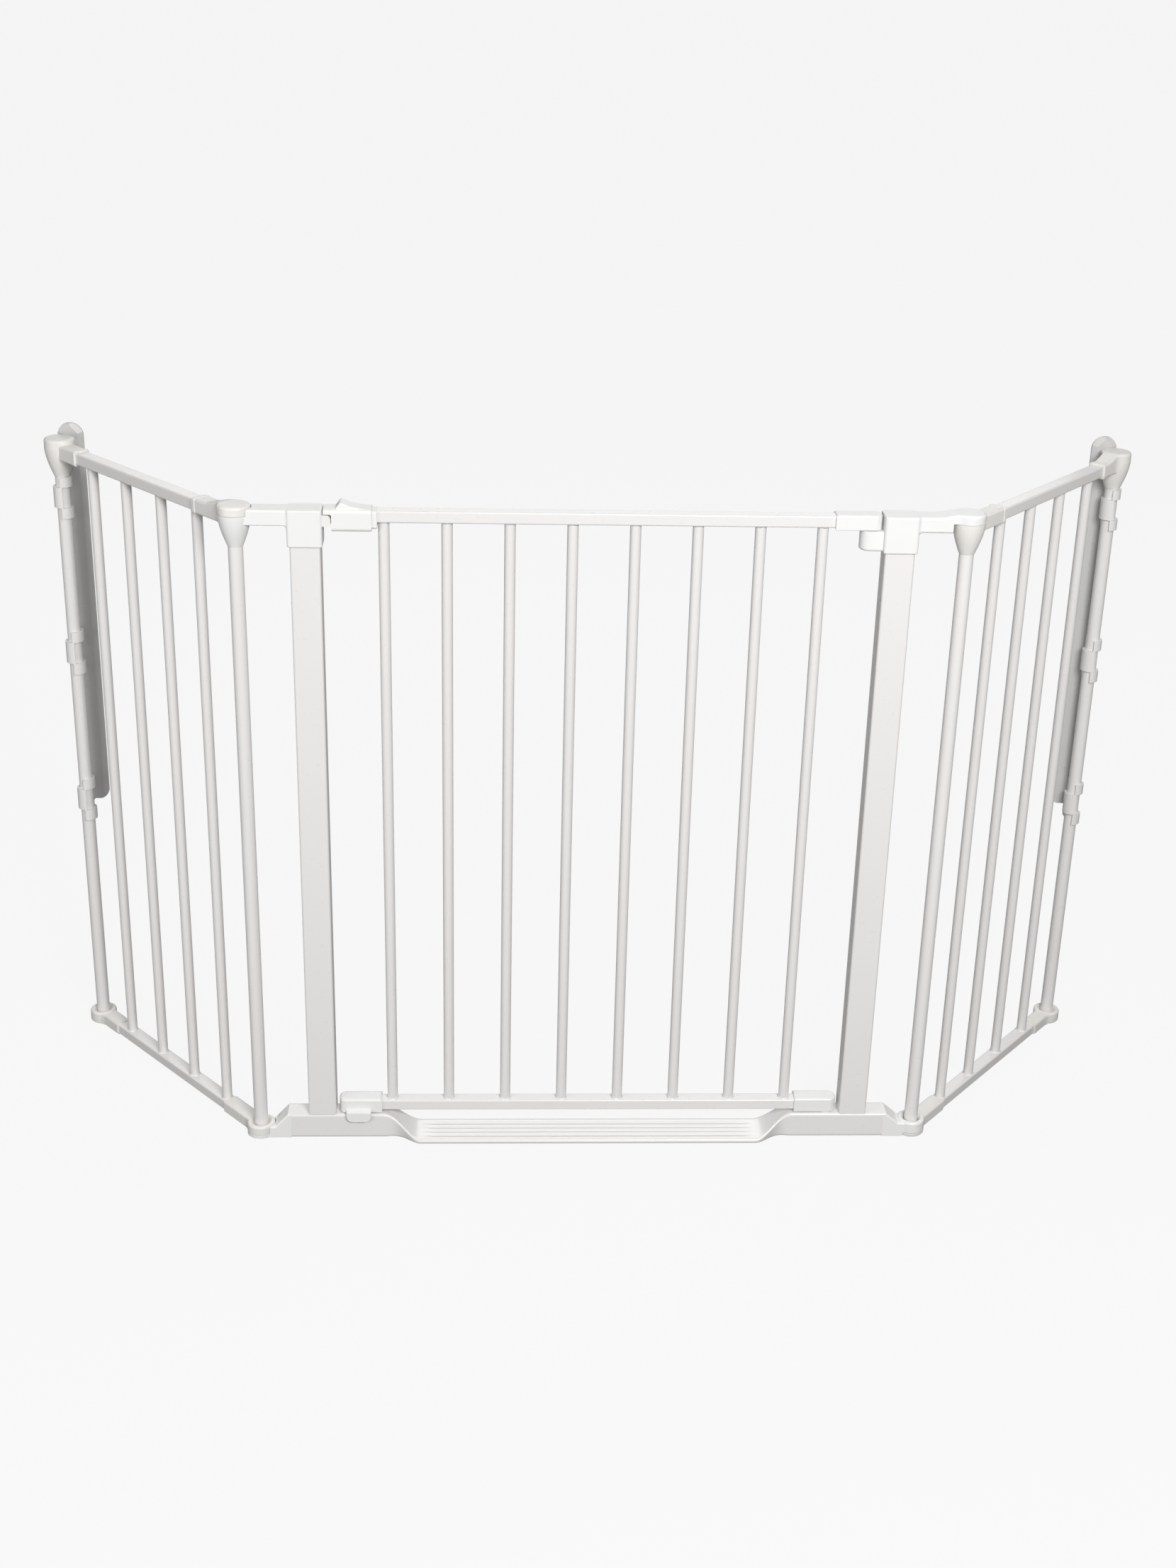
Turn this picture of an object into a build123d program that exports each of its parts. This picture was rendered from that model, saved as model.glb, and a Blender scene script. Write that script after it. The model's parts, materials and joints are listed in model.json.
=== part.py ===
from build123d import *
import os
from math import cos, hypot, radians, sin, sqrt

os.makedirs("parts", exist_ok=True)

# ---------------------------------------------------------------------------
# Three-section safety gate: a doorway section with a swinging, lifting leaf,
# a barred side panel hinged to each side of it, and a wall rail on the far
# tube of each side panel.  Millimetres, +Z up, front of the gate towards -Y.
# ---------------------------------------------------------------------------

# overall layout
GATE_W = 720.0          # between the two hinge tube axes of the doorway section
PANEL_W = 330.0         # between the two tube axes of a side panel
PANEL_ANGLE = 49.4      # side panels swept back from the doorway plane, degrees
HINGE_X = GATE_W / 2

# vertical tubes of the hinges and panel ends
TUBE_R = 7.4
TUBE_WALL = 1.0
TUBE_Z0, TUBE_Z1 = 9.0, 690.0
PIN_R = 4.0
RUN = 0.05              # radial running clearance

# bars
BAR_R = 5.55
BAR_WALL = 1.0

# side panel rails
RAIL_D, RAIL_H, RAIL_WALL = 15.0, 12.0, 1.0
P_BOT0 = 1.0            # underside of the bottom rail
P_TOP0 = 693.3          # underside of the top rail
P_BARS = 4
P_PITCH = PANEL_W / (P_BARS + 1)
INNER_SLEEVE = 60.0     # from the tube axis
OUTER_SLEEVE = 45.0
SLEEVE_HALF = 9.0

# stacked knuckles
CUP_R = 15.3
DISC_R = 16.3
FOOT_T = 4.4            # lower knuckle disc
CUP_Z0, CUP_Z1 = 4.7, 14.4
CONE_Z0, CONE_Z1 = 671.5, 703.3
CONE_R = 16.5
TOP_Z0, TOP_Z1 = 703.6, 713.0

# doorway frame
POST_W, POST_D, POST_WALL = 30.0, 25.0, 1.2
POST_X = 291.5
FRAME_H = 29.0          # height of the tube across the floor
FRAME_X = 326.4         # half length of that tube
STEP_W, STEP_T = 44.4, 5.6
STEP_Y = -5.0           # the pressed step stands forward of the tube
STEP_X = 184.0          # half length of the part pressed flat
TAPER_X = 226.0
CAP_W, CAP_D = 34.8, 29.0
CAP_Z0, CAP_Z1 = 673.0, 710.3
ARM_Z0, ARM_Z1, ARM_HALF = 694.0, 710.1, 12.0

# leaf
LEAF_BOT0 = 31.8
LEAF_TOP0 = 697.0
LEAF_BARS = 8
LEAF_PITCH = 61.54
LEAF_AXIS_X = 262.0     # vertical hinge axis of the leaf
LEAF_END_R = 11.1
LEAF_CAP_HALF = 9.9
LEAF_LIFT = 10.0
LATCH_TRAVEL = 8.0
LATCH_X0, LATCH_X1 = -273.4, -226.5
LATCH_Z0, LATCH_Z1, LATCH_HALF = 688.9, 711.0, 12.2
CORE_X0, CORE_X1 = -261.0, -221.4
CORE_Z0, CORE_Z1, CORE_HALF = 691.4, 709.4, 10.2
STRIKE_X1 = -266.1

# wall rails
WR_W = 27.6
WR_T = 5.0
WR_OFF = 17.0           # from the end tube axis to the front of the plate
WR_SHIFT = 8.4          # middle of the plate, inwards from the tube axis
WR_Z0, WR_Z1 = 282.5, 724.2
WR_FLAT = 8.0           # half width of the flat front between the bevels
WR_WEB = 7.0
WR_HOLE_R = 2.4
WR_HOLE_Z = [332.0, 423.6667, 515.3333, 607.0]
CLIPS = [(266.2, 316.4), (445.0, 494.6), (625.0, 670.7)]
CLIP_R = 10.4

# end tube positions and the shift that puts the origin under the middle of
# the whole object's box
END_X = HINGE_X + PANEL_W * cos(radians(PANEL_ANGLE))
END_Y = PANEL_W * sin(radians(PANEL_ANGLE))
Y_BACK = END_Y + WR_OFF + WR_T
Y_FRONT = STEP_Y - STEP_W / 2
GATE_Y = -(Y_BACK + Y_FRONT) / 2


def solids(shape):
    out = []
    for s in shape if isinstance(shape, (list, tuple)) else [shape]:
        out += list(s.solids())
    return out


def put(node, shape, panel=None):
    """Write one node; panel is None, 'left' or 'right' for pieces drawn in a panel's own frame."""
    parts = solids(shape)
    if panel == "left":
        parts = [Pos(-END_X, END_Y, 0) * Rot(0, 0, -PANEL_ANGLE) * s for s in parts]
    elif panel == "right":
        parts = [Pos(HINGE_X, 0, 0) * Rot(0, 0, PANEL_ANGLE) * s for s in parts]
    parts = [Pos(0, GATE_Y, 0) * s for s in parts]
    comp = parts[0] if len(parts) == 1 else Compound(children=parts)
    export_step(comp, f"parts/{node}.step")
    print(node, len(parts))


def box(x0, x1, y0, y1, z0, z1):
    return Pos((x0 + x1) / 2, (y0 + y1) / 2, (z0 + z1) / 2) * Box(x1 - x0, y1 - y0, z1 - z0)


def rod(r, z0, z1, x=0.0, y=0.0):
    return Pos(x, y, (z0 + z1) / 2) * Cylinder(r, z1 - z0)


def pipe(ro, ri, z0, z1, x=0.0, y=0.0):
    return rod(ro, z0, z1, x, y) - rod(ri, z0 - 1, z1 + 1, x, y)


def xz_prism(points, y0, y1):
    """Extrude a polygon of (x, z) points from y0 to y1."""
    face = make_face(Polyline(*[(x, y1, z) for x, z in points], close=True))
    return extrude(face, amount=y1 - y0, dir=(0, -1, 0))


def yz_prism(points, x0, x1):
    face = make_face(Polyline(*[(x0, y, z) for y, z in points], close=True))
    return extrude(face, amount=x1 - x0, dir=(1, 0, 0))


def spin(points, x=0.0, y=0.0):
    """Revolve a polygon of (r, z) points about the vertical axis."""
    face = make_face(Polyline(*[(r, 0, z) for r, z in points], close=True))
    return Pos(x, y, 0) * revolve(face, axis=Axis.Z)


def bevel(shape, edges, size):
    for s in (size, size * 0.6, size * 0.3):
        try:
            out = fillet(edges, s)
            if out.is_valid:
                return out
        except Exception:
            pass
    print("  fillet left off")
    return shape


def rounded_box(x0, x1, y0, y1, z0, z1, rv=0.0, rh=0.0):
    """Box with its vertical edges rounded by rv and its top and bottom edges by rh."""
    b = box(x0, x1, y0, y1, z0, z1)
    if rv:
        b = bevel(b, b.edges().filter_by(Axis.Z), rv)
    if rh:
        b = bevel(b, b.faces().filter_by(Plane.XY).edges(), rh)
    return b


def rail_tube(x0, x1, z0, d=RAIL_D, h=RAIL_H, wall=RAIL_WALL, r=1.6):
    """Hollow rectangular rail along X with rounded long edges."""
    o = box(x0, x1, -d / 2, d / 2, z0, z0 + h)
    o = bevel(o, o.edges().filter_by(Axis.X), r)
    return o - box(x0 - 1, x1 + 1, -d / 2 + wall, d / 2 - wall, z0 + wall, z0 + h - wall)


# ---------------------------------------------------------------------------
# knuckles, drawn with their tube axis at x = 0 and their arm towards +X
# (side = 1) or -X (side = -1)
# ---------------------------------------------------------------------------

def arm(side, length, z0, z1, half, r=2.0):
    b = box(0, length, -half, half, z0, z1)
    b = bevel(b, b.edges().filter_by(Axis.X), r)
    return b if side > 0 else mirror(b, about=Plane.YZ)


def flared(side, length, z0, z1, half, r, f):
    """Arm that widens into a round end of radius r; f is the radius of the flare in plan."""
    plan = Circle(r) + Pos(length / 2, 0) * Rectangle(length, 2 * half)
    corners = [v for v in plan.vertices() if abs(hypot(v.X, v.Y) - r) < 0.01 and v.X > 0]
    plan = fillet(corners, f)
    b = Pos(0, 0, z0) * extrude(plan, amount=z1 - z0)
    return b if side > 0 else mirror(b, about=Plane.YZ)


def soften(b, side, length, z, r):
    """Round the outline at height z, except across the mouth of the arm."""
    edges = [e for e in b.edges() if abs(e.center().Z - z) < 0.01 and abs(e.center().X - side * length) > 0.01
             and abs(e.position_at(0).Z - e.position_at(1).Z) < 0.01]
    return bevel(b, edges, r)


def collar(side, length, z0, z1, half):
    """Raised bead round the mouth of a sleeve."""
    c = box(length - 4.6, length, -half - 0.5, half + 0.5, z0 - 0.5, z1 + 0.5)
    c = bevel(c, c.edges().filter_by(Axis.X), 2.4)
    c = bevel(c, c.faces().sort_by(Axis.X)[0].edges(), 0.45)
    return c if side > 0 else mirror(c, about=Plane.YZ)


CONE_LINE = [(TUBE_R + 0.7, CONE_Z0), (10.2, 677.0), (12.7, 684.0), (14.8, 691.5), (16.0, 698.0), (CONE_R, CONE_Z1)]


def cone_body():
    """Bulging cone under a top corner's disc."""
    outline = Line((0, 0, CONE_Z0), (CONE_LINE[0][0], 0, CONE_Z0)) + Spline(*[(r, 0, z) for r, z in CONE_LINE])
    outline += Line((CONE_R, 0, CONE_Z1), (0, 0, CONE_Z1)) + Line((0, 0, CONE_Z1), (0, 0, CONE_Z0))
    return revolve(make_face(outline), axis=Axis.Z)


def cone_knuckle(side, length, z0, z1, half, bore, pin, tube_top=TUBE_Z1):
    """Lower knuckle of a top corner: a cone round the tube with the disc's seat on top."""
    a = flared(side, length, z0, z1, half, 13.0, 12.0)
    a = soften(a, side, length, z1, 2.0)
    a = soften(a, side, length, z0, 1.4)
    a -= rod(CONE_R + 0.25, CONE_Z1, z1 + 5)
    c = cone_body() + a + collar(side, length, z0, z1, half)
    c -= rod(bore, CONE_Z0 - 1, tube_top)
    c -= rod(pin, tube_top - 1, CONE_Z1 + 1)
    return c


def disc_body(z0=TOP_Z0, r=DISC_R):
    d = rod(r, z0, TOP_Z1)
    return bevel(d, d.edges().filter_by(GeomType.CIRCLE).sort_by(Axis.Z)[-1:], 3.2)


def ease(q):
    q = max(0.0, min(1.0, q))
    return q * q * (3 - 2 * q)


def flare_half(x, half, f):
    """Half width of an arm that widens into the disc by an arc of radius f."""
    cx = sqrt((DISC_R + f) ** 2 - (half + f) ** 2)
    if x >= cx:
        return half
    if x <= cx * DISC_R / (DISC_R + f):
        return sqrt(DISC_R ** 2 - x * x) - 0.05
    return half + f - sqrt(f * f - (cx - x) ** 2)


def paddle(side, length, z0, z1, half, f, reach, r=2.4):
    """Arm that leaves the disc at its full width and height and settles to half and z1 by x = reach."""
    section = lambda x, h, t: Plane(origin=(side * x, 0, (z0 + t) / 2), x_dir=(0, 1, 0), z_dir=(1, 0, 0)) * RectangleRounded(2 * h, t - z0, r)
    top = TOP_Z1 - 0.05
    n = round((reach - 7.0) / 3.6)
    stations = [7.0 + (reach - 7.0) * k / n for k in range(n + 1)]
    blend = loft([section(x, flare_half(x, half, f), z1 + (top - z1) * (1 - ease((x - 11.0) / (reach - 11.0)))) for x in stations])
    run = extrude(section(reach, half, z1), amount=length - reach, dir=(side, 0, 0))
    return blend + run


def disc_knuckle(side, length, z0, z1, half, pin, low=TOP_Z0):
    """Upper knuckle of a top corner: a disc over the cone, flowing into an arm that comes down beside it."""
    d = paddle(side, length, z0, z1, half, 14.0, min(40.0, length - 7.0))
    d -= rod(CONE_R + 0.7, CONE_Z0, low)
    d = disc_body(low) + d + collar(side, length, z0, z1, half)
    return d - rod(pin, low - 1, 709.3)


def foot_disc():
    d = rod(CUP_R, 0, FOOT_T)
    return bevel(d, d.edges().filter_by(GeomType.CIRCLE).sort_by(Axis.Z)[:1], 2.6)


def foot_knuckle(side, length, pin, half=SLEEVE_HALF, top=14.0):
    """Lower knuckle of a bottom corner: a thin disc on the floor."""
    a = flared(side, length, 0, top, half, CUP_R, 16.0)
    a = soften(a, side, length, 0, 2.4)
    a = soften(a, side, length, top, 2.4)
    return a - rod(CUP_R + 0.9, FOOT_T, top + 5) - rod(pin, -1, FOOT_T + 1)


def cup_body(z0=CUP_Z0, z1=CUP_Z1):
    c = rod(CUP_R, z0, z1)
    c = bevel(c, c.edges().filter_by(GeomType.CIRCLE).sort_by(Axis.Z)[-1:], 2.8)
    c = bevel(c, c.edges().filter_by(GeomType.CIRCLE).sort_by(Axis.Z)[:1], 0.6)
    return c


def cup_cut(bore, pin, z0=CUP_Z0, z1=CUP_Z1):
    """Funnel round the tube, the tube's seat and the pin's hole."""
    f = spin([(0, TUBE_Z0 + 1.4), (bore + 0.2, TUBE_Z0 + 1.4), (bore + 1.6, z1 - 2.2), (11.6, z1 + 0.4), (11.6, z1 + 6), (0, z1 + 6)])
    return f + rod(bore, TUBE_Z0 - (0.3 if bore > TUBE_R else 0.0), z1 + 5) + rod(pin, z0 - 1, TUBE_Z0 + 1)


def cup_knuckle(side, length, bore, pin, half=SLEEVE_HALF, top=14.0):
    """Upper knuckle of a bottom corner: a cup that the tube stands in."""
    a = flared(side, length, 0, top, half, CUP_R, 16.0)
    a = soften(a, side, length, 0, 1.8)
    a = soften(a, side, length, top, 2.6)
    a -= rod(CUP_R + 0.9, -1, CUP_Z0)
    return a + cup_body() - cup_cut(bore, pin)


def fold_room(x, gate_side, r, z0, z1):
    """Space behind a gate corner that the panel's flared arm folds through; gate_side is the side the gate lies on."""
    pts = [(0.0, 0.0)]
    for i in range(9):
        a = radians(31.0 + 69.0 * i / 8)
        pts.append((gate_side * 40 * cos(a), 40 * sin(a)))
    face = make_face(Polyline(*[(px, py, z0) for px, py in pts], close=True))
    return Pos(x, 0, 0) * (extrude(face, amount=z1 - z0, dir=(0, 0, 1)) - rod(r, z0 - 1, z1 + 1))


def end_tube(x=0.0):
    return pipe(TUBE_R, TUBE_R - TUBE_WALL, TUBE_Z0, TUBE_Z1, x)


# ---------------------------------------------------------------------------
# side panels: left end tube at x = 0, right end tube at x = PANEL_W
# ---------------------------------------------------------------------------

def panel_common(name, left_sleeve, right_sleeve):
    x0, x1 = 24.0, PANEL_W - 24.0
    put(f"{name}_top_rail", rail_tube(x0, x1, P_TOP0), name.split("_")[0])
    put(f"{name}_bottom_rail", rail_tube(x0, x1, P_BOT0), name.split("_")[0])
    put(f"{name}_bars", [pipe(BAR_R, BAR_R - BAR_WALL, P_BOT0 + RAIL_H, P_TOP0, P_PITCH * (i + 1)) for i in range(P_BARS)],
        name.split("_")[0])


def rail_pocket(x0, x1, z0):
    p = box(x0, x1, -RAIL_D / 2, RAIL_D / 2, z0, z0 + RAIL_H)
    return bevel(p, p.edges().filter_by(Axis.X), 1.6)


S0, S1 = P_TOP0 - 1.5, P_TOP0 + RAIL_H + 1.7      # height of a top sleeve
X0, X1 = 24.0, PANEL_W - 24.0
TOP_POCKET = rail_pocket(X0, X1, P_TOP0)
BOT_POCKET = rail_pocket(X0, X1, P_BOT0)
at_right = Pos(PANEL_W, 0, 0)

# left panel
panel_common("left_panel", OUTER_SLEEVE, INNER_SLEEVE)
put("left_panel_outer_top_knuckle", cone_knuckle(1, OUTER_SLEEVE, S0, S1, SLEEVE_HALF, TUBE_R, PIN_R) - TOP_POCKET, "left")
put("left_panel_end_cap", disc_body(CONE_Z1) - rod(PIN_R, CONE_Z1 - 1, 709.0), "left")
put("left_panel_inner_top_knuckle",
    at_right * disc_knuckle(-1, INNER_SLEEVE, S0, S1, SLEEVE_HALF, PIN_R + RUN) - TOP_POCKET, "left")
put("left_panel_outer_foot", foot_knuckle(1, OUTER_SLEEVE, PIN_R) - BOT_POCKET, "left")
put("left_panel_end_cup", (cup_body(FOOT_T) - cup_cut(TUBE_R, PIN_R, FOOT_T)) , "left")
put("left_panel_inner_cup", at_right * cup_knuckle(-1, INNER_SLEEVE, TUBE_R + RUN, PIN_R + RUN) - BOT_POCKET, "left")
put("left_panel_end_tube", end_tube(), "left")
put("left_panel_end_pins", [rod(PIN_R, 0.5, TUBE_Z0 + 0.0), rod(PIN_R, TUBE_Z1, 709.0)], "left")

# right panel
panel_common("right_panel", INNER_SLEEVE, OUTER_SLEEVE)
put("right_panel_inner_top_knuckle",
    cone_knuckle(1, INNER_SLEEVE, S0, S1, SLEEVE_HALF, TUBE_R + RUN, PIN_R + RUN, TUBE_Z1 + 0.3) - TOP_POCKET, "right")
put("right_panel_outer_top_knuckle",
    at_right * disc_knuckle(-1, OUTER_SLEEVE, S0, S1, SLEEVE_HALF, PIN_R, CONE_Z1) - TOP_POCKET, "right")
put("right_panel_end_cone", at_right * (cone_body() - rod(TUBE_R, CONE_Z0 - 1, TUBE_Z1) - rod(PIN_R, TUBE_Z1 - 1, CONE_Z1 + 1)), "right")
put("right_panel_inner_foot", foot_knuckle(1, INNER_SLEEVE, PIN_R + RUN) - BOT_POCKET, "right")
put("right_panel_outer_cup", at_right * cup_knuckle(-1, OUTER_SLEEVE, TUBE_R, PIN_R) - BOT_POCKET, "right")
put("right_panel_end_foot",
    at_right * ((foot_disc() + rod(CUP_R - 1.0, FOOT_T - 1, CUP_Z0)) - rod(PIN_R, -1, CUP_Z0 + 1)), "right")
put("right_panel_end_tube", at_right * end_tube(), "right")
put("right_panel_end_pins", [at_right * rod(PIN_R, 0.5, TUBE_Z0), at_right * rod(PIN_R, TUBE_Z1, 709.0)], "right")

# ---------------------------------------------------------------------------
# doorway frame
# ---------------------------------------------------------------------------

def x_section(x, w, z0, z1, r, y=0.0):
    pl = Plane(origin=(x, y, (z0 + z1) / 2), x_dir=(0, 1, 0), z_dir=(1, 0, 0))
    return pl * RectangleRounded(w, z1 - z0, r)


def pressed_tube(grow):
    """Outside (grow 0) or inside (grow > 0, the wall) of the tube across the floor."""
    g = grow
    big = lambda x: x_section(x, POST_D - 2 * g, g, FRAME_H - g, 2.4 - g)
    flat = lambda x: x_section(x, STEP_W - 2 * g, g, STEP_T - g, 2.6 - g, STEP_Y)
    e = 5.0 if g else 0.0
    out = loft([big(-FRAME_X - e), big(-TAPER_X)], ruled=True)
    out += loft([big(-TAPER_X), flat(-STEP_X)], ruled=True)
    out += loft([flat(-STEP_X), flat(STEP_X)], ruled=True)
    out += loft([flat(STEP_X), big(TAPER_X)], ruled=True)
    out += loft([big(TAPER_X), big(FRAME_X + e)], ruled=True)
    return out


BUSH_R = 7.0
floor_tube = pressed_tube(0) - pressed_tube(1.2) - rod(BUSH_R, 20, 40, LEAF_AXIS_X)
for yr in (-12.0, -4.0, 4.0, 12.0):
    rib = Pos(0, STEP_Y + yr, STEP_T - 2.3) * Rot(0, 90, 0) * Cylinder(2.8, 2 * STEP_X - 16)
    floor_tube += rib - box(-400, 400, -50, 50, -20, STEP_T - 0.6)
put("floor_tube", floor_tube)

for side, name in ((-1, "left"), (1, "right")):
    o = box(POST_X - 15, POST_X + 15, -POST_D / 2, POST_D / 2, FRAME_H, 706.0)
    o = bevel(o, o.edges().filter_by(Axis.Z), 2.5)
    i = box(POST_X - 15 + POST_WALL, POST_X + 15 - POST_WALL, -POST_D / 2 + POST_WALL, POST_D / 2 - POST_WALL, FRAME_H - 1, 707)
    p = o - i
    put(f"{name}_post", p if side > 0 else mirror(p, about=Plane.YZ))

# tee caps over the posts; drawn on the right, then mirrored for the left
POST_POCKET = box(POST_X - 15, POST_X + 15, -POST_D / 2, POST_D / 2, CAP_Z0 - 1, 706.0)
POST_POCKET = bevel(POST_POCKET, POST_POCKET.edges().filter_by(Axis.Z), 2.5)


def cap_block():
    b = rounded_box(POST_X - CAP_W / 2 + 0.3, POST_X + CAP_W / 2, -CAP_D / 2, CAP_D / 2, CAP_Z0, CAP_Z1, 3.2, 1.6)
    return b


def cap_arm(r, f, z1=ARM_Z1):
    a = at_hinge * flared(-1, HINGE_X - POST_X - 5, ARM_Z0, z1, ARM_HALF, r, f)
    a = bevel(a, [e for e in a.edges() if abs(e.center().Z - z1) < 0.01 and abs(e.center().X - POST_X - 5) > 0.01], 2.4)
    return bevel(a, [e for e in a.edges() if abs(e.center().Z - ARM_Z0) < 0.01 and abs(e.center().X - POST_X - 5) > 0.01], 1.6)


def inner_corner(c):
    """Round the inside corner between the block and the underside of the arm."""
    e = [k for k in c.edges() if k.geom_type == GeomType.LINE and abs(k.tangent_at(0.5).Y) > 0.99
         and abs(k.center().Z - ARM_Z0) < 0.05 and abs(abs(k.center().X) - POST_X - CAP_W / 2) < 0.05]
    return bevel(c, e, 3.5) if e else c


at_hinge = Pos(HINGE_X, 0, 0)
# left: the arm ends in the lower (cone) knuckle
cap = cap_block() + (cap_arm(13.0, 9.0) - at_hinge * rod(CONE_R + 0.7, CONE_Z1, ARM_Z1 + 5))
cap = inner_corner(cap)
cap += at_hinge * cone_body()
cap = cap - POST_POCKET - at_hinge * rod(TUBE_R, CONE_Z0 - 1, TUBE_Z1) - at_hinge * rod(PIN_R, TUBE_Z1 - 1, CONE_Z1 + 1)
cap -= fold_room(HINGE_X, -1, CONE_R + 0.4, ARM_Z0 - 1, TOP_Z1 + 1)
left_cap = mirror(cap, about=Plane.YZ)
STRIKE = rounded_box(-(POST_X - 15) , STRIKE_X1, -12.6, -3.2, 694.2, 705.3)
left_cap -= STRIKE
put("left_corner_cap", left_cap)
strike = xz_prism([(-(POST_X - 15), 694.2), (STRIKE_X1 - 2.2, 694.2), (STRIKE_X1, 696.0), (STRIKE_X1, 702.3), (STRIKE_X1 - 2.6, 705.3),
                   (-(POST_X - 15), 705.3)], -12.6, -3.2)
put("latch_strike", strike)

# right: the arm ends in the upper (disc) knuckle, and a lug carries the leaf's upper pin
head = at_hinge * paddle(-1, HINGE_X - POST_X - 4, ARM_Z0, ARM_Z1, ARM_HALF, 10.0, 32.0)
head -= at_hinge * box(-17.9, 30, -30, 30, ARM_Z0 - 5, TOP_Z0)      # the underside stops short of the cone
head += at_hinge * disc_body()
cap = inner_corner(cap_block() + head)
lug = rod(10.2, 674.4, 694.9, LEAF_AXIS_X) + box(LEAF_AXIS_X, POST_X - 12, -10.2, 10.2, 674.4, 694.9)
lug = bevel(lug, lug.faces().sort_by(Axis.Z)[0].edges(), 2.6)
cap += lug
cap = cap - POST_POCKET - at_hinge * rod(PIN_R, TOP_Z0 - 1, 709.0) - rod(PIN_R + RUN, 677.0, 700, LEAF_AXIS_X)
cap -= fold_room(HINGE_X, -1, DISC_R, ARM_Z0 - 1, TOP_Z1 + 1)
put("right_corner_cap", cap)

# feet at the ends of the floor tube
HALF = POST_D / 2


def wedge(points):
    w = xz_prism(points, -HALF, HALF)
    return bevel(w, [e for e in w.edges() if e.geom_type == GeomType.LINE and abs(e.tangent_at(0.5).Y) < 0.1
                     and e.center().Z > 12.7 and abs(abs(e.center().X) - FRAME_X) > 0.5], 2.0)


END_CUT = HINGE_X - 8.0
slope = [(FRAME_X, 0.0), (FRAME_X, FRAME_H), (FRAME_X + 3.2, FRAME_H), (HINGE_X - CUP_R - 0.9, 13.4), (END_CUT, 13.0)]
tongue = box(FRAME_X - 30, FRAME_X, -HALF + 1.2, HALF - 1.2, 1.2, FRAME_H - 1.2)
tongue = bevel(tongue, tongue.edges().filter_by(Axis.X), 1.3)
tongue -= box(FRAME_X - 31, FRAME_X - 3, -HALF + 3, HALF - 3, 3, FRAME_H - 3)
# left: wedge down to the lower knuckle disc, hollowed round the panel's cup
foot = wedge(slope + [(END_CUT, 0.0)])
foot -= at_hinge * rod(CUP_R + 0.9, FOOT_T, FRAME_H + 5)
foot = foot + at_hinge * (flared(-1, CUP_R + 4, 0, FOOT_T, HALF, CUP_R, 3.0) - rod(PIN_R, -1, FOOT_T + 1))
foot -= fold_room(HINGE_X, -1, CUP_R + 0.5, -1, 15.0)
foot += tongue
put("left_foot_block", mirror(foot, about=Plane.YZ))
# right: wedge down into the cup, which stands over the panel's knuckle disc
RIGHT_CUP_Z1 = CUP_Z1 + 3.6
high = [(FRAME_X, 0.0), (FRAME_X, FRAME_H), (FRAME_X + 3.2, FRAME_H), (HINGE_X - CUP_R - 0.9, 16.8), (END_CUT, 16.4)]
foot = wedge(high + [(END_CUT, 0.0)])
foot -= at_hinge * rod(CUP_R + 0.9, -1, CUP_Z0)
foot = foot + at_hinge * cup_body(z1=RIGHT_CUP_Z1) + tongue - at_hinge * cup_cut(TUBE_R, PIN_R, z1=RIGHT_CUP_Z1)
foot -= fold_room(HINGE_X, -1, CUP_R + 0.5, -1, 18.0)
put("right_foot_block", foot)

# hinge tubes, their nylon plugs and steel pins
put("left_hinge_tube", end_tube(-HINGE_X))
put("right_hinge_tube", end_tube(HINGE_X))
put("hinge_tube_plugs", [pipe(TUBE_R - TUBE_WALL, PIN_R, TUBE_Z0, TUBE_Z0 + 18, -HINGE_X),
                         pipe(TUBE_R - TUBE_WALL, PIN_R, TUBE_Z1 - 18, TUBE_Z1, HINGE_X)])
put("left_hinge_pins", [rod(PIN_R, 0.5, TUBE_Z0 + 16, -HINGE_X), rod(PIN_R, TUBE_Z1, 709.0, -HINGE_X)])
put("right_hinge_pins", [rod(PIN_R, 0.5, TUBE_Z0, HINGE_X), rod(PIN_R, TUBE_Z1 - 16, 709.0, HINGE_X)])

# bush in the floor tube for the leaf's lower pin
bush = rod(BUSH_R, 10.0, FRAME_H + 0.2, LEAF_AXIS_X) + rod(9.0, FRAME_H, FRAME_H + 0.7, LEAF_AXIS_X)
put("leaf_pin_bush", bush - rod(PIN_R + RUN, 12.0, 40, LEAF_AXIS_X))

# ---------------------------------------------------------------------------
# leaf
# ---------------------------------------------------------------------------
put("leaf_hinge_pins", [rod(PIN_R, 12.3, 43.4, LEAF_AXIS_X), rod(PIN_R, 677.3, 707.0, LEAF_AXIS_X)])

LR0, LR1 = CORE_X0 + 18.0, 250.0
LB0 = -262.0
put("leaf_top_rail", rail_tube(LR0, LR1, LEAF_TOP0))
put("leaf_bottom_rail", rail_tube(LB0, LR1, LEAF_BOT0))
put("leaf_bars", [pipe(BAR_R, BAR_R - BAR_WALL, LEAF_BOT0 + RAIL_H, LEAF_TOP0, LEAF_PITCH * (i - (LEAF_BARS - 1) / 2))
                  for i in range(LEAF_BARS)])


def leaf_end_cap(z0, z1, bore0, bore1, rail_z):
    b = box(226.6, LEAF_AXIS_X + LEAF_END_R, -LEAF_CAP_HALF, LEAF_CAP_HALF, z0, z1)
    b = b & (rod(LEAF_END_R, z0, z1, LEAF_AXIS_X) + box(200, LEAF_AXIS_X + 5, -30, 30, z0, z1))
    b = bevel(b, b.faces().sort_by(Axis.Z)[-1].edges(), 2.2)
    b = bevel(b, b.faces().sort_by(Axis.Z)[0].edges(), 0.8)
    p = box(200, LR1, -RAIL_D / 2, RAIL_D / 2, rail_z, rail_z + RAIL_H)
    p = bevel(p, p.edges().filter_by(Axis.X), 1.6)
    return b - p - rod(PIN_R + RUN, bore0, bore1, LEAF_AXIS_X)


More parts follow.
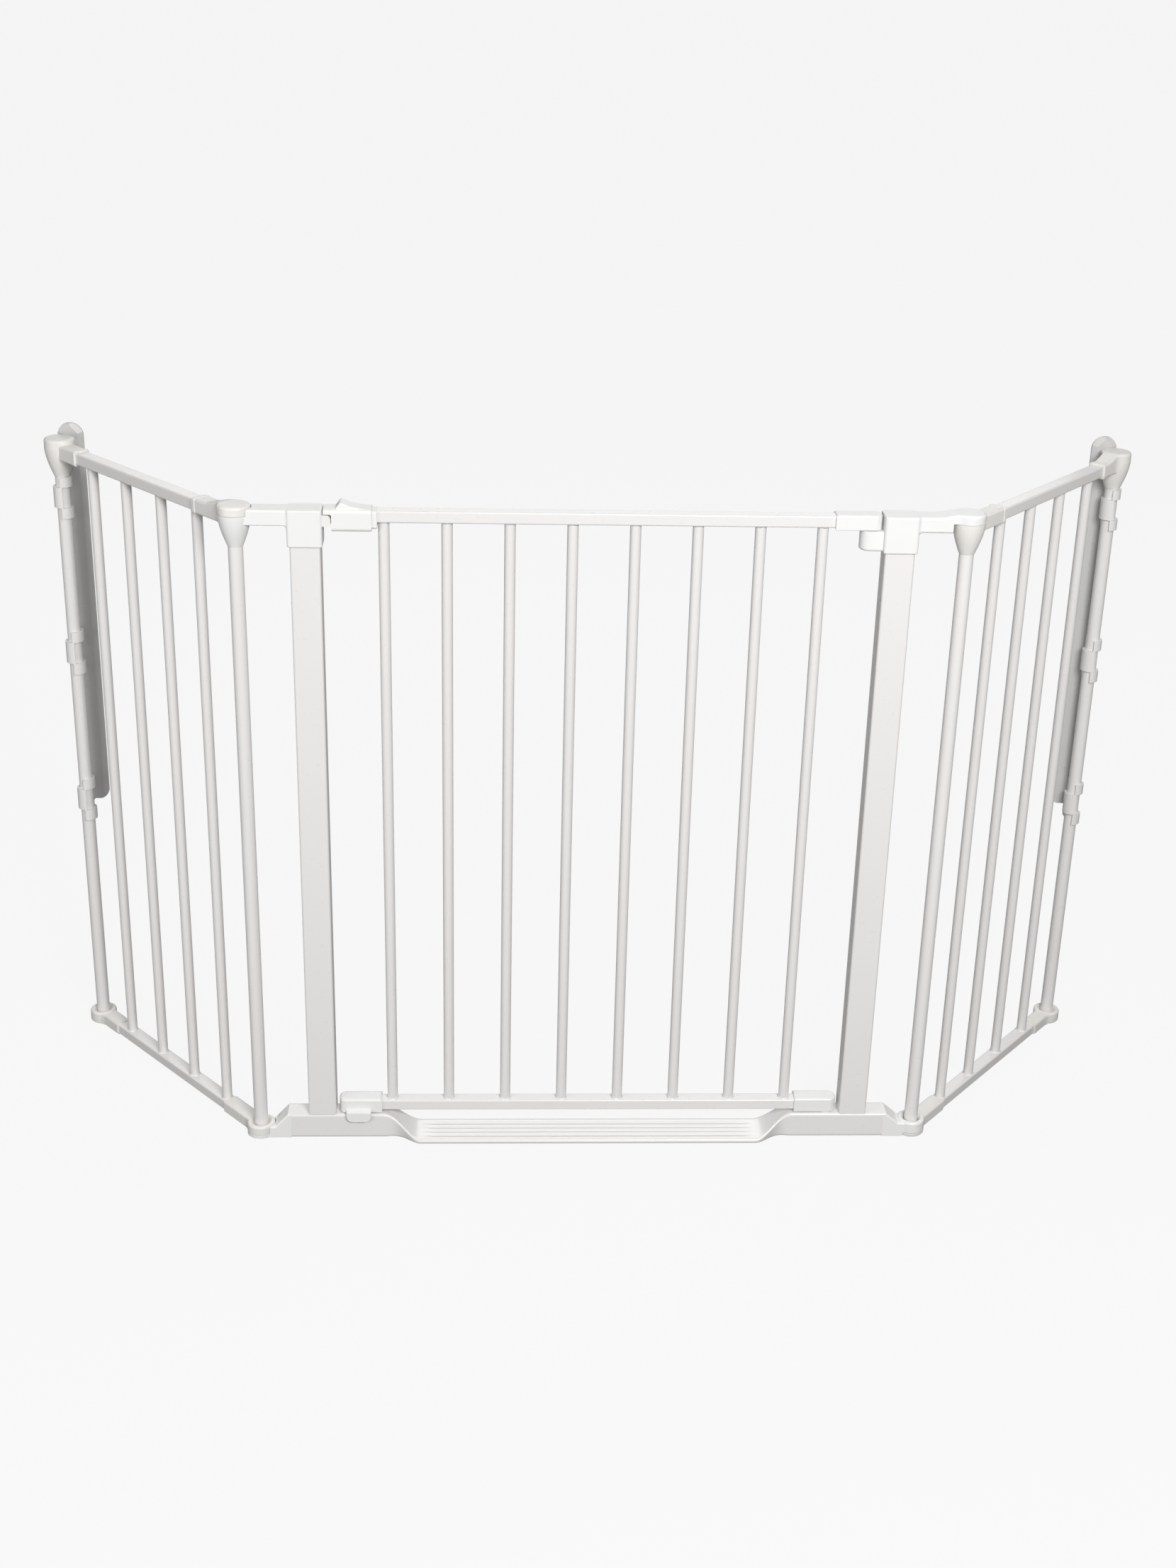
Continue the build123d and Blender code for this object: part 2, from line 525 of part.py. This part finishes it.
put("leaf_hinge_cap", leaf_end_cap(695.4, 710.6, 690.0, 707.5, LEAF_TOP0))
put("leaf_lower_hinge_cap", leaf_end_cap(30.2, 46.4, 25.0, 44.0, LEAF_BOT0))

# lower free corner: cap with a rounded stop tab in front of the floor tube
b = rounded_box(-273.2, -227.0, -LEAF_CAP_HALF, LEAF_CAP_HALF, 30.2, 46.4, 0)
b = bevel(b, b.edges().filter_by(Axis.Z).sort_by(Axis.X)[:2], 8.0)
b = bevel(b, b.faces().sort_by(Axis.Z)[-1].edges(), 2.6)
tab = yz_prism([(-8.0, 35.0), (-16.3, 32.6), (-16.3, 21.8), (-13.0, 21.8), (-13.0, 30.2), (-8.0, 30.2)], -265.4, -239.0)
tab = bevel(tab, [e for e in tab.edges() if abs(e.tangent_at(0.5).Y) > 0.9 and e.center().Z < 22.4], 7.0)
p = box(LB0, -200, -RAIL_D / 2, RAIL_D / 2, LEAF_BOT0, LEAF_BOT0 + RAIL_H)
p = bevel(p, p.edges().filter_by(Axis.X), 1.6)
put("leaf_catch_cap", b + tab - p)

# latch core on the end of the top rail, and the hollow slider over it
core = rounded_box(CORE_X0, CORE_X1, -CORE_HALF, CORE_HALF, CORE_Z0, CORE_Z1, 0)
core = bevel(core, core.edges().filter_by(Axis.X), 2.6)
core = bevel(core, core.faces().sort_by(Axis.X)[-1].edges(), 1.2)
p = box(LR0, 0, -RAIL_D / 2, RAIL_D / 2, LEAF_TOP0, LEAF_TOP0 + RAIL_H)
p = bevel(p, p.edges().filter_by(Axis.X), 1.6)
spring_bore = Pos(CORE_X0 + 7.0, 0, 701.0) * Rot(0, 90, 0) * Cylinder(3.9, 16.0)
put("latch_core", core - p - spring_bore)

s = rounded_box(LATCH_X0, LATCH_X1, -LATCH_HALF, LATCH_HALF, LATCH_Z0, LATCH_Z1, 0)
s = bevel(s, s.edges().filter_by(Axis.X), 3.8)
s = bevel(s, s.faces().sort_by(Axis.X)[-1].edges(), 1.0)
grip = xz_prism([(-261.5, 708.0), (-261.5, 711.4), (-257.8, 716.6), (-256.4, 717.2), (-254.6, 716.8), (-247.0, 713.6), (-238.0, 711.9), (-229.0, 711.0), (-229.0, 708.0)],
                -9.4, 9.4)
grip = bevel(grip, [e for e in grip.edges() if abs(e.tangent_at(0.5).Y) < 0.1 and e.center().Z > 710.9 and abs(e.tangent_at(0.5).X) > 0.2], 1.6)
s = s + grip
s -= box(-270.2, LATCH_X1 + 1, -CORE_HALF - 0.35, CORE_HALF + 0.35, CORE_Z0 - 0.35, CORE_Z1 + 0.35)
s -= box(LATCH_X0 - 1, STRIKE_X1 + 0.7, -20, 20, LATCH_Z0 - 1, 706.1)          # room for the strike
s -= box(LATCH_X1 - 9.4, LATCH_X1 + 1, -BAR_R - 0.6, BAR_R + 0.6, LATCH_Z0 - 1, CORE_Z0 + 1)   # room for the first bar
put("latch_slider", s)

# ---------------------------------------------------------------------------
# wall rails: flat plate with a rounded crown and three groups of opposed
# half rings that the end tube turns in; origin of the drawing at the tube axis
# ---------------------------------------------------------------------------

def sector(ro, ri, a0, a1, z0, z1):
    """Part of a ring between two angles, degrees."""
    n = 10
    outer = [(ro * 1.6 * cos(radians(a0 + (a1 - a0) * i / n)), ro * 1.6 * sin(radians(a0 + (a1 - a0) * i / n)), z0) for i in range(n + 1)]
    wedge_face = make_face(Polyline((0, 0, z0), *outer, close=True))
    w = extrude(wedge_face, amount=z1 - z0, dir=(0, 0, 1))
    return pipe(ro, ri, z0, z1) & w


def wall_rail(inward):
    """inward is the side that the plate stands off to, +1 or -1 along X."""
    y0, y1 = WR_OFF, WR_OFF + WR_T
    h = WR_W / 2
    xm = inward * WR_SHIFT
    plate = box(xm - h, xm + h, y0, y1, WR_Z0, WR_Z1 - h)
    plate = bevel(plate, plate.edges().filter_by(Axis.Y).sort_by(Axis.Z)[:2], 11.0)
    plate += Pos(xm, (y0 + y1) / 2, WR_Z1 - h) * Rot(90, 0, 0) * Cylinder(h, y1 - y0)
    tip, shoulder = WR_Z1 - 2.5, WR_Z1 - 11.5
    tilt = radians(24.0)
    for sx in (-1, 1):
        # long bevel, then the facet from the shoulder up to the tip
        run, rise = sx * WR_FLAT, tip - shoulder
        size = hypot(run, rise)
        for origin, u, v in (((xm + sx * WR_FLAT, y0, 500.0), (0, 0, 1), (sx, 0, 0)),
                             ((xm, y0, tip), (-run / size, 0, rise / size), (sx * rise / size, 0, abs(run) / size))):
            n = (v[0] * sin(tilt), -cos(tilt), v[2] * sin(tilt))
            plate -= Plane(origin=origin, x_dir=u, z_dir=n) * Pos(0, 0, 20) * Box(900, 60, 40)
    out = plate
    for z0, z1 in CLIPS:
        t = z1 - z0
        out += box(-WR_WEB / 2, WR_WEB / 2, 9.0, y0 + 2.5, z0, z1)
        for s0, s1, a0, a1 in ((z0, z0 + 0.26 * t, -96, 108), (z0 + 0.26 * t, z0 + 0.76 * t, 72, 276), (z0 + 0.76 * t, z1, -96, 108)):
            out += sector(CLIP_R, TUBE_R + RUN, a0, a1, s0, s1)
    # the lowest web runs below the plate, with a rounded inner corner
    z0, z1 = CLIPS[0]
    gusset = box(-WR_WEB / 2, WR_WEB / 2, 12.0, y1, z0, WR_Z0 + 4)
    gusset += box(0 if inward > 0 else -9.0, 9.0 if inward > 0 else 0, y0 + 2.2, y1, WR_Z0 - 5.5, WR_Z0 + 4)
    gusset -= Pos(inward * 9.0, y1, WR_Z0 - 5.5) * Rot(90, 0, 0) * Cylinder(5.5, 30)
    out += gusset
    for z in WR_HOLE_Z:
        out -= Pos(xm, (y0 + y1) / 2, z) * Rot(90, 0, 0) * Cylinder(WR_HOLE_R, 3 * WR_T)
        out -= Pos(xm, y0 + 1.1, z) * Rot(90, 0, 0) * Cone(WR_HOLE_R, WR_HOLE_R + 2.4, 2.4)
    return out


put("left_wall_rail", Pos(-END_X, END_Y, 0) * wall_rail(1))
put("right_wall_rail", Pos(END_X, END_Y, 0) * wall_rail(-1))

# return spring of the latch, wound round the X axis
coil = Helix(pitch=3.4, height=17.0, radius=3.0)
wire = sweep(Plane(origin=coil @ 0, z_dir=coil % 0) * Circle(0.45), path=coil)
put("latch_spring", Pos(-264.7, 0, 701.0) * Rot(0, 90, 0) * wire)

print("gate y", GATE_Y, "end", END_X, END_Y + GATE_Y, "back", Y_BACK + GATE_Y)
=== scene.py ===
import json
import math

import bmesh
import bpy
from mathutils import Matrix, Vector


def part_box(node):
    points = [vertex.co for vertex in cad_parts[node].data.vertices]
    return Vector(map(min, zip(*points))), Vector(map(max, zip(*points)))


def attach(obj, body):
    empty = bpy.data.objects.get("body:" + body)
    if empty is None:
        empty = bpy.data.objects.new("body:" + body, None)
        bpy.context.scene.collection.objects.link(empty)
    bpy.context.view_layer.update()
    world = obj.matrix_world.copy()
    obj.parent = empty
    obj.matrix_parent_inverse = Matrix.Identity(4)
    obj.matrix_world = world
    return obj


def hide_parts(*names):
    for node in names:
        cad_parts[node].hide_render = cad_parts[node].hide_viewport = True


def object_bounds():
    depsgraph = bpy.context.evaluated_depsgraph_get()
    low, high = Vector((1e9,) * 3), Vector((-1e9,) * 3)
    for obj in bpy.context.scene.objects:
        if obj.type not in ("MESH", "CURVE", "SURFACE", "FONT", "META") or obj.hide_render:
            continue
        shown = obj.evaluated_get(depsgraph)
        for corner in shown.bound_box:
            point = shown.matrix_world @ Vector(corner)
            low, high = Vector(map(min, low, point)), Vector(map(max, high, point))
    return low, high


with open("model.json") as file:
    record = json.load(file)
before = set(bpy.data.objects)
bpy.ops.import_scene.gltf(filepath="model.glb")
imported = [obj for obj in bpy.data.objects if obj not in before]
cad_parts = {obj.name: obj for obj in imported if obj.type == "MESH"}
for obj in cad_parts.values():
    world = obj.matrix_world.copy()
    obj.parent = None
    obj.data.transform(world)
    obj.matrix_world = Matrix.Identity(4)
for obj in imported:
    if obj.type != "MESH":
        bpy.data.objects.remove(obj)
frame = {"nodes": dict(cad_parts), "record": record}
CAD_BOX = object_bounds()
nodes = frame["nodes"]
scene = bpy.context.scene

# ---------------------------------------------------------------------------
# shared numbers, metres, in the CAD frame
# ---------------------------------------------------------------------------
lo, hi = CAD_BOX
post_lo, post_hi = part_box("left_post")
GATE_Y = (post_lo.y + post_hi.y) / 2          # plane of the doorway section
tube_lo, tube_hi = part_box("floor_tube")
BAR_R = 0.00555
WORLD = 0.56
KEY = 43.0
FILL = 14.0
RIM = 10.0
FLOOR_GLOW = 0.89


# ---------------------------------------------------------------------------
# materials
# ---------------------------------------------------------------------------
def mat(name, base, rough, coat=0.0, peel=0.0, peel_scale=700.0, fine=0.0, fine_scale=2600.0,
        tint=0.02, metallic=0.0, sub=0.0, rough_var=0.06, fold_darkening=0.0):
    """Painted or moulded surface: slow colour drift, patchy gloss, and fine relief."""
    m = bpy.data.materials.new(name)
    m.use_nodes = True
    nt = m.node_tree
    n, l = nt.nodes, nt.links
    p = n["Principled BSDF"]
    p.inputs["Metallic"].default_value = metallic
    p.inputs["IOR"].default_value = 1.5
    p.inputs["Coat Weight"].default_value = coat
    p.inputs["Coat Roughness"].default_value = 0.12
    if sub:
        p.inputs["Subsurface Weight"].default_value = sub
        p.inputs["Subsurface Radius"].default_value = (1.0, 0.9, 0.75)
        p.inputs["Subsurface Scale"].default_value = 0.0015
    tc = n.new("ShaderNodeTexCoord")

    slow = n.new("ShaderNodeTexNoise")
    slow.inputs["Scale"].default_value = 9.0
    slow.inputs["Detail"].default_value = 4.0
    l.new(tc.outputs["Object"], slow.inputs["Vector"])
    mid = n.new("ShaderNodeTexNoise")
    mid.inputs["Scale"].default_value = 120.0
    mid.inputs["Detail"].default_value = 3.0
    l.new(tc.outputs["Object"], mid.inputs["Vector"])

    ramp = n.new("ShaderNodeValToRGB")
    ramp.color_ramp.elements[0].position = 0.3
    ramp.color_ramp.elements[1].position = 0.72
    ramp.color_ramp.elements[0].color = (*[c * (1 - tint) for c in base], 1)
    ramp.color_ramp.elements[1].color = (*[min(1, c * (1 + tint * 0.6)) for c in base], 1)
    l.new(slow.outputs["Fac"], ramp.inputs["Fac"])
    colour = ramp.outputs["Color"]
    if fold_darkening:
        # darker where the surface folds inwards, from the mesh pointiness
        geo = n.new("ShaderNodeNewGeometry")
        pr = n.new("ShaderNodeValToRGB")
        pr.color_ramp.elements[0].position = 0.40
        pr.color_ramp.elements[1].position = 0.50
        pr.color_ramp.elements[0].color = (1 - fold_darkening, 1 - fold_darkening * 1.05, 1 - fold_darkening * 1.2, 1)
        pr.color_ramp.elements[1].color = (1, 1, 1, 1)
        l.new(geo.outputs["Pointiness"], pr.inputs["Fac"])
        mx = n.new("ShaderNodeMix")
        mx.data_type = "RGBA"
        mx.blend_type = "MULTIPLY"
        mx.inputs["Factor"].default_value = 1.0
        l.new(colour, mx.inputs["A"])
        l.new(pr.outputs["Color"], mx.inputs["B"])
        colour = mx.outputs["Result"]
    l.new(colour, p.inputs["Base Color"])

    rr = n.new("ShaderNodeMapRange")
    rr.inputs["From Min"].default_value = 0.3
    rr.inputs["From Max"].default_value = 0.7
    rr.inputs["To Min"].default_value = max(0.02, rough - rough_var)
    rr.inputs["To Max"].default_value = rough + rough_var
    l.new(mid.outputs["Fac"], rr.inputs["Value"])
    l.new(rr.outputs["Result"], p.inputs["Roughness"])

    last = None
    if peel:
        a = n.new("ShaderNodeTexNoise")
        a.inputs["Scale"].default_value = peel_scale
        a.inputs["Detail"].default_value = 2.0
        l.new(tc.outputs["Object"], a.inputs["Vector"])
        b = n.new("ShaderNodeBump")
        b.inputs["Strength"].default_value = 1.0
        b.inputs["Distance"].default_value = peel
        l.new(a.outputs["Fac"], b.inputs["Height"])
        last = b
    if fine:
        a = n.new("ShaderNodeTexVoronoi")
        a.inputs["Scale"].default_value = fine_scale
        l.new(tc.outputs["Object"], a.inputs["Vector"])
        b = n.new("ShaderNodeBump")
        b.inputs["Strength"].default_value = 1.0
        b.inputs["Distance"].default_value = fine
        l.new(a.outputs["Distance"], b.inputs["Height"])
        if last:
            l.new(last.outputs["Normal"], b.inputs["Normal"])
        last = b
    if last:
        l.new(last.outputs["Normal"], p.inputs["Normal"])
    return m


ENAMEL = mat("white_powder_coat", (0.79, 0.774, 0.760), 0.30, coat=0.25, peel=0.000012, peel_scale=170, fine=0.0000004,
             fine_scale=5200, tint=0.010, rough_var=0.03)
STEP = mat("worn_glossy_powder_coat", (0.82, 0.81, 0.80), 0.20, coat=0.7, peel=0.000012, peel_scale=170, fine=0.0000004,
           fine_scale=5200, tint=0.012, rough_var=0.05)
WHITE = mat("white_moulded_plastic", (0.82, 0.82, 0.81), 0.36, fine=0.0000006, fine_scale=5200, peel=0.000010,
            peel_scale=200, tint=0.010, rough_var=0.04)
CREAM = mat("cream_moulded_plastic", (0.80, 0.782, 0.745), 0.38, fine=0.0000006, fine_scale=5200, peel=0.000010,
            peel_scale=200, tint=0.015, rough_var=0.04)
RAIL = mat("rail_moulded_plastic", (0.76, 0.755, 0.745), 0.42, fine=0.0000008, fine_scale=4200, peel=0.000014,
           peel_scale=150, tint=0.02, rough_var=0.04)
NYLON = mat("nylon_plug", (0.72, 0.71, 0.66), 0.5, fine=0.00001, tint=0.02)
STEEL = mat("zinc_plated_steel", (0.60, 0.60, 0.62), 0.32, peel=0.00001, peel_scale=1800, metallic=1.0, tint=0.05)
SPRING = mat("spring_wire", (0.5, 0.5, 0.52), 0.25, peel=0.00001, peel_scale=2500, metallic=1.0, tint=0.05)
BY_SLOT = {"white_enamel": ENAMEL, "white_plastic": WHITE, "cream_plastic": CREAM, "rail_plastic": RAIL,
           "nylon": NYLON, "steel_pin": STEEL, "spring_wire": SPRING}


def painted_shade_behind(m, y, amount):
    """Painted shade: multiply the base colour by amount where the object's own y is past the given value."""
    nt = m.node_tree
    p = nt.nodes["Principled BSDF"]
    old = p.inputs["Base Color"].links[0].from_socket
    tc = nt.nodes.new("ShaderNodeTexCoord")
    sep = nt.nodes.new("ShaderNodeSeparateXYZ")
    nt.links.new(tc.outputs["Object"], sep.inputs["Vector"])
    mr = nt.nodes.new("ShaderNodeMapRange")
    mr.inputs["From Min"].default_value = y - 0.0012
    mr.inputs["From Max"].default_value = y - 0.0004
    mr.inputs["To Min"].default_value = 1.0
    mr.inputs["To Max"].default_value = amount
    nt.links.new(sep.outputs["Y"], mr.inputs["Value"])
    mx = nt.nodes.new("ShaderNodeMix")
    mx.data_type = "RGBA"
    mx.blend_type = "MULTIPLY"
    mx.inputs["Factor"].default_value = 1.0
    nt.links.new(old, mx.inputs["A"])
    nt.links.new(mr.outputs["Result"], mx.inputs["B"])
    nt.links.new(mx.outputs["Result"], p.inputs["Base Color"])


# painted shade: the rail's wall plate and its hole covers, behind the clip rings, are darkened to 0.72 of the rail
# colour
painted_shade_behind(RAIL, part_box("left_wall_rail")[1].y - 0.005, 0.72)
slot_of = {s["node"]: s["material_slot"] for s in frame["record"]["subparts"]}
for name, o in nodes.items():
    o.data.materials.clear()
    o.data.materials.append(BY_SLOT[slot_of[name]])

# ---------------------------------------------------------------------------
# pieces that ride on the bodies
# ---------------------------------------------------------------------------
def piece(name, bm, material, body, smooth=True):
    bmesh.ops.recalc_face_normals(bm, faces=bm.faces)
    me = bpy.data.meshes.new(name)
    bm.to_mesh(me)
    bm.free()
    for f in me.polygons:
        f.use_smooth = smooth
    o = bpy.data.objects.new(name, me)
    scene.collection.objects.link(o)
    me.materials.append(material)
    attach(o, body)
    return o


def weld(bm, centre, radius, size, seed, axis=(0, 0, 1), turns=20):
    """Closed, slightly uneven fillet ring that hugs a bar where it meets a rail."""
    c = Vector(centre)
    ax = Vector(axis).normalized()
    ux = Vector((1, 0, 0)) if abs(ax.x) < 0.9 else Vector((0, 1, 0))
    ux = (ux - ax * ux.dot(ax)).normalized()
    uy = ax.cross(ux)
    rings = []
    for i in range(turns):
        a = 2 * math.pi * i / turns
        ca, sa = math.cos(a), math.sin(a)
        w = size * (1 + 0.22 * math.sin(3 * a + seed) + 0.13 * math.sin(7 * a + 2.3 * seed))
        d = ux * ca + uy * sa
        r = radius
        # profile: inside the bar, up the bar, out along the rail, under the surface
        prof = [(-0.6 * size, -0.5 * size), (-0.6 * size, w), (0.05 * size, w), (0.38 * w, 0.42 * w), (w, 0.06 * size), (w, -0.5 * size)]
        rings.append([bm.verts.new(c + d * (r + pr) + ax * pz) for pr, pz in prof])
    for i in range(turns):
        p0, p1 = rings[i], rings[(i + 1) % turns]
        for k in range(len(p0)):
            m = (k + 1) % len(p0)
            bm.faces.new((p0[k], p1[k], p1[m], p0[m]))


def bar_feet(node):
    """Centres of the bars in a node, from its mesh: one (x, y) per bar."""
    pts = [v.co for v in nodes[node].data.vertices]
    groups = []
    for p in pts:
        for g in groups:
            if (p.x - g[0].x) ** 2 + (p.y - g[0].y) ** 2 < 0.022 ** 2:
                g.append(p)
                break
        else:
            groups.append([p.copy()])
    out = []
    for g in groups:
        out.append(((min(p.x for p in g) + max(p.x for p in g)) / 2, (min(p.y for p in g) + max(p.y for p in g)) / 2,
                    min(p.z for p in g), max(p.z for p in g)))
    return sorted(out)


def smooth(t):
    t = max(0.0, min(1.0, t))
    return t * t * (3 - 2 * t)


def floor_tube():
    """The tube across the floor, pressed flat into a grooved step in the middle, as one smooth skin."""
    end, taper, step = tube_hi.x, 0.2260, 0.1840          # half lengths
    half_d, height = 0.0125, tube_hi.z - tube_lo.z
    step_front, step_back, step_t = tube_lo.y - GATE_Y, tube_hi.y - GATE_Y, 0.0056
    xs = [-end + (end - taper) * i / 10 for i in range(10)]
    xs += [-taper + (taper - step) * i / 26 for i in range(26)]
    xs += [-step + 2 * step * i / 60 for i in range(61)]
    xs += [step + (taper - step) * i / 26 for i in range(1, 27)]
    xs += [taper + (end - taper) * i / 10 for i in range(1, 11)]
    around = 24                                           # points on each side between corners
    bm = bmesh.new()
    rings = []
    for x in xs:
        t = smooth((abs(x) - step) / (taper - step))      # 0 on the step, 1 on the full tube
        wide = smooth((abs(x) - step) / (taper - step) * 1.25)
        top = step_t + (height - step_t) * t
        front = step_front + (-half_d - step_front) * wide
        back = step_back + (half_d - step_back) * wide
        r = min(0.0026, top / 2 - 0.0001)
        tuck = 0.20 * math.sin(math.pi * max(0.0, min(1.0, (abs(x) - step) / (taper - step)))) ** 2
        yc = (front + back) / 2
        pts = []
        for (cy, cz), a0 in (((back - r, r), -90), ((back - r, top - r), 0), ((front + r, top - r), 90), ((front + r, r), 180)):
            for k in range(5):
                a = math.radians(a0 + 90 * k / 4)
                pts.append((cy + r * math.cos(a), cz + r * math.sin(a)))
        full = []
        for k in range(len(pts)):
            p, q = pts[k], pts[(k + 1) % len(pts)]
            full.append(p)
            if k % 5 == 4:
                for j in range(1, around):
                    full.append((p[0] + (q[0] - p[0]) * j / around, p[1] + (q[1] - p[1]) * j / around))
        ring = []
        ends = smooth((step - 0.004 - abs(x)) / 0.008)    # the grooves run out just before the wings
        for y, z in full:
            if tuck:
                y = yc + (y - yc) * (1 - tuck * (1 - z / top) ** 1.5)
            if z > top - 0.0004 and ends > 0:
                g = math.cos((y - yc) * 2 * math.pi / 0.008) * 0.5 + 0.5
                if abs(y - yc) < 0.0165:
                    z -= 0.0006 * (1 - g) * ends
            ring.append(bm.verts.new((x, GATE_Y + y, tube_lo.z + z)))
        rings.append(ring)
    n = len(rings[0])
    for a, b in zip(rings, rings[1:]):
        for k in range(n):
            bm.faces.new((a[k], a[(k + 1) % n], b[(k + 1) % n], b[k]))
    bm.faces.new(rings[0])
    bm.faces.new(list(reversed(rings[-1])))
    return bm


for bars, body, low_rail, top_rail, tag in (("leaf_bars", "gate_leaf", "leaf_bottom_rail", "leaf_top_rail", "leaf"),
                                            ("left_panel_bars", "left_panel", "left_panel_bottom_rail", "left_panel_top_rail", "left"),
                                            ("right_panel_bars", "right_panel", "right_panel_bottom_rail", "right_panel_top_rail", "right")):
    z_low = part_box(low_rail)[1].z
    z_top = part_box(top_rail)[0].z
    bm = bmesh.new()
    for i, (x, y, z0, z1) in enumerate(bar_feet(bars)):
        weld(bm, (x, y, z_low), BAR_R, 0.0011, 1.7 * i, (0, 0, 1))
        weld(bm, (x, y, z_top), BAR_R, 0.0009, 0.9 + 1.3 * i, (0, 0, -1))
    piece(tag + "_weld_beads", bm, ENAMEL, body)

step_piece = piece("floor_tube_skin", floor_tube(), ENAMEL, "gate_frame")
step_piece.data.set_sharp_from_angle(angle=math.radians(50))
step_piece.data.materials.append(STEP)
for f in step_piece.data.polygons:
    f.material_index = 1 if abs(f.center.x) < 0.205 else 0
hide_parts("floor_tube")

# covers pressed into the screw holes of the wall rails
RAIL_HOLE_Z = (0.332, 0.4236667, 0.5153333, 0.607)
for side, inward in (("left", 1), ("right", -1)):
    t_lo, t_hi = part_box(side + "_panel_end_tube")
    x = (t_lo.x + t_hi.x) / 2 + inward * 0.0084
    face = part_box(side + "_wall_rail")[1].y - 0.005
    bm = bmesh.new()
    for z in RAIL_HOLE_Z:
        rings = []
        for r, d in ((0.0036, 0.0011), (0.00485, 0.0002), (0.00488, -0.00002), (0.0047, -0.00006), (0.0034, -0.00009), (0.0016, -0.0001)):
            rings.append([bm.verts.new((x + r * math.cos(2 * math.pi * k / 32), face + d, z + r * math.sin(2 * math.pi * k / 32)))
                          for k in range(32)])
        for a, b in zip(rings, rings[1:]):
            for k in range(32):
                bm.faces.new((a[k], a[(k + 1) % 32], b[(k + 1) % 32], b[k]))
        bm.faces.new(rings[0])
        bm.faces.new(list(reversed(rings[-1])))
    piece(side + "_rail_hole_covers", bm, RAIL, side + "_wall_rail")

# ---------------------------------------------------------------------------
# stage, light, camera
# ---------------------------------------------------------------------------
scene.view_settings.view_transform = "Standard"

bm = bmesh.new()
bmesh.ops.create_grid(bm, x_segments=2, y_segments=2, size=60)
me = bpy.data.meshes.new("floor")
bm.to_mesh(me)
bm.free()
floor = bpy.data.objects.new("floor", me)
scene.collection.objects.link(floor)
floor.location = (0, 0, lo.z - 0.0002)
fm = bpy.data.materials.new("floor_paper")
fm.use_nodes = True
fp = fm.node_tree.nodes["Principled BSDF"]
fp.inputs["Base Color"].default_value = (0.05, 0.05, 0.05, 1)
fp.inputs["Roughness"].default_value = 1.0
fp.inputs["Specular IOR Level"].default_value = 0.0
fp.inputs["Emission Color"].default_value = (1, 1, 1, 1)
fp.inputs["Emission Strength"].default_value = FLOOR_GLOW
floor.data.materials.append(fm)
floor.visible_diffuse = False        # the pale floor doesn't flood the gate with light from below
floor.visible_glossy = False

world = bpy.data.worlds.new("studio")
scene.world = world
world.use_nodes = True
wn, wl = world.node_tree.nodes, world.node_tree.links
bg = wn["Background"]
bg.inputs["Strength"].default_value = WORLD
wtc = wn.new("ShaderNodeTexCoord")
sep = wn.new("ShaderNodeSeparateXYZ")
wl.new(wtc.outputs["Generated"], sep.inputs["Vector"])
wr = wn.new("ShaderNodeValToRGB")                 # darker below, light overhead
wr.color_ramp.elements[0].position = 0.30
wr.color_ramp.elements[0].color = (0.42, 0.415, 0.41, 1)
wr.color_ramp.elements[1].position = 0.85
wr.color_ramp.elements[1].color = (0.86, 0.86, 0.86, 1)
wm = wn.new("ShaderNodeMapRange")
wm.inputs["From Min"].default_value = -1
wm.inputs["From Max"].default_value = 1
wl.new(sep.outputs["Z"], wm.inputs["Value"])
wl.new(wm.outputs["Result"], wr.inputs["Fac"])
side = wn.new("ShaderNodeMath")                   # darker towards both sides
side.operation = "ABSOLUTE"
wl.new(sep.outputs["X"], side.inputs[0])
sr = wn.new("ShaderNodeValToRGB")
sr.color_ramp.elements[0].position = 0.35
sr.color_ramp.elements[0].color = (1, 1, 1, 1)
sr.color_ramp.elements[1].position = 0.95
sr.color_ramp.elements[1].color = (0.45, 0.45, 0.46, 1)
wl.new(side.outputs["Value"], sr.inputs["Fac"])
wx = wn.new("ShaderNodeMix")
wx.data_type = "RGBA"
wx.blend_type = "MULTIPLY"
wx.inputs["Factor"].default_value = 1.0
wl.new(wr.outputs["Color"], wx.inputs["A"])
wl.new(sr.outputs["Color"], wx.inputs["B"])
wl.new(wx.outputs["Result"], bg.inputs["Color"])


def area(name, loc, target, size, power, colour=(1, 1, 1)):
    d = bpy.data.lights.new(name, "AREA")
    d.shape = "RECTANGLE"
    d.size, d.size_y = size
    d.energy = power
    d.color = colour
    o = bpy.data.objects.new(name, d)
    scene.collection.objects.link(o)
    o.location = loc
    o.rotation_mode = "QUATERNION"
    o.rotation_quaternion = (Vector(target) - Vector(loc)).to_track_quat("-Z", "Y")
    return o


area("key", (0.55, -2.0, 1.65), (0.2, -0.1, 0.45), (0.9, 0.7), KEY)
area("fill_left", (-1.9, -1.5, 0.7), (-0.45, 0.0, 0.4), (1.2, 1.0), FILL)
area("back_rim", (0.0, 1.9, 1.6), (0, 0, 0.4), (2.2, 0.9), RIM)

cam_d = bpy.data.cameras.new("camera")
cam = bpy.data.objects.new("camera", cam_d)
scene.collection.objects.link(cam)
cam_d.sensor_width = 36.0
cam_d.lens = 2939.108 * 36.0 / 2212.0
cam_d.clip_start, cam_d.clip_end = 0.05, 200
yaw, pitch, roll = math.radians(2.887), math.radians(23.34), math.radians(1.462)
fwd = Vector((math.sin(yaw) * math.cos(pitch), math.cos(yaw) * math.cos(pitch), -math.sin(pitch)))
right = Vector((math.cos(yaw), -math.sin(yaw), 0))
up = right.cross(fwd)
r2 = right * math.cos(roll) + up * math.sin(roll)
u2 = -right * math.sin(roll) + up * math.cos(roll)
rot = Matrix((r2, u2, -fwd)).transposed()
cam.matrix_world = Matrix.Translation((-0.109067, -1.969677 + GATE_Y, 1.270334)) @ rot.to_4x4()
scene.camera = cam
